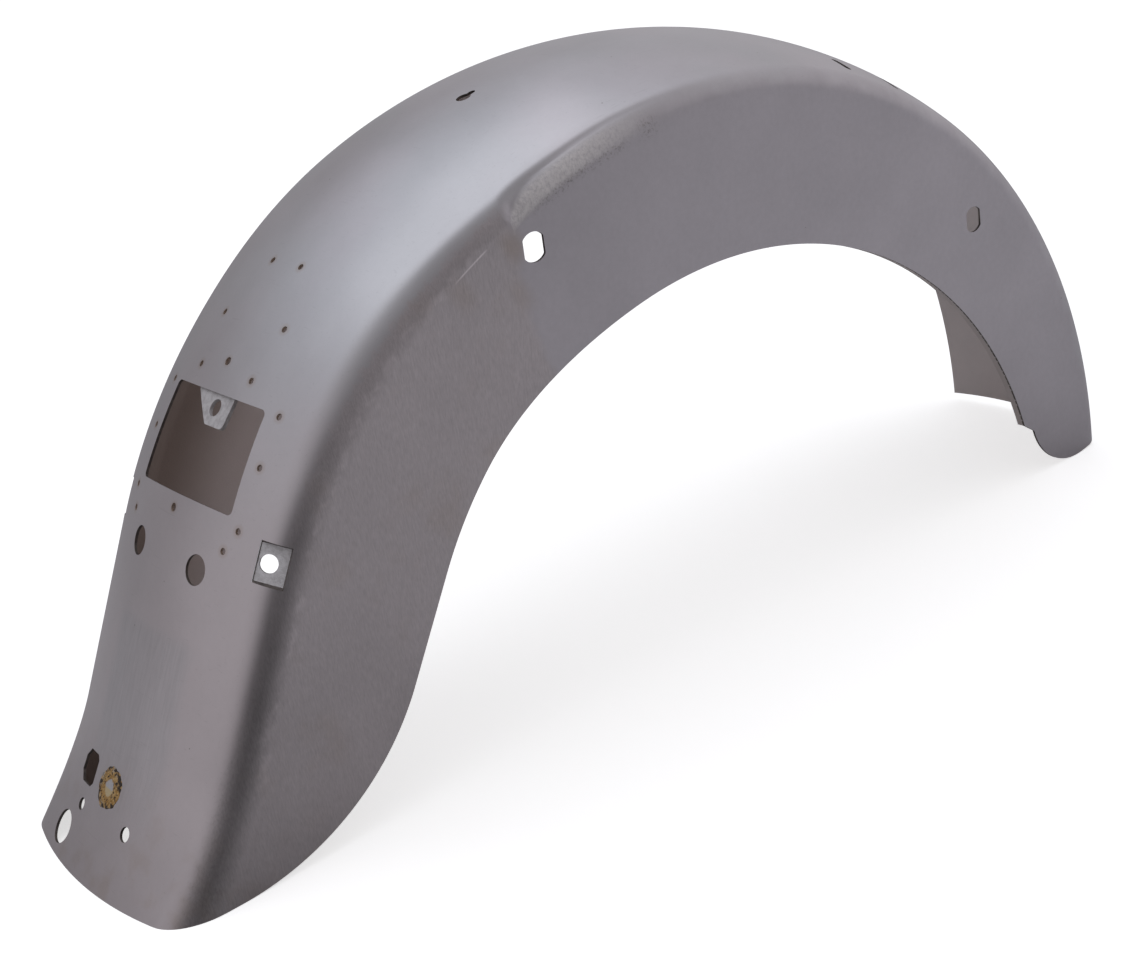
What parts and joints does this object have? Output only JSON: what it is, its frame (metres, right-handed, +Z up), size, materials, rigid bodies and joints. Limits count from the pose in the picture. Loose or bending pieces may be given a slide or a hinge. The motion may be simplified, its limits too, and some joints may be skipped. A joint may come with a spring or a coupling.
{
  "type": "motorcycle rear fender",
  "caption": "Raw pressed-steel rear fender for a motorcycle: arched crown, flat sides cut as a wheel arch, flicked tail, lamp window, strut slots and a welded tab.",
  "frame": {"origin": "on the ground below the middle of the overall length, on the centre plane of the crown", "axes": "+X forward, +Y to the left of the machine, +Z up; the fender stands on its tail and its right front tip"},
  "size_m": [0.75, 0.193, 0.3461],
  "materials": {
    "raw_steel": "bare sheet, sanded on the sides",
    "tab_steel": "zinc-grey, unsanded",
    "braze": "rough braze with burnt flux"
  },
  "bodies": {
    "root": {"fender_shell": "raw_steel", "lamp_tab": "tab_steel", "braze_plug": "braze"}
  },
  "joints": []
}
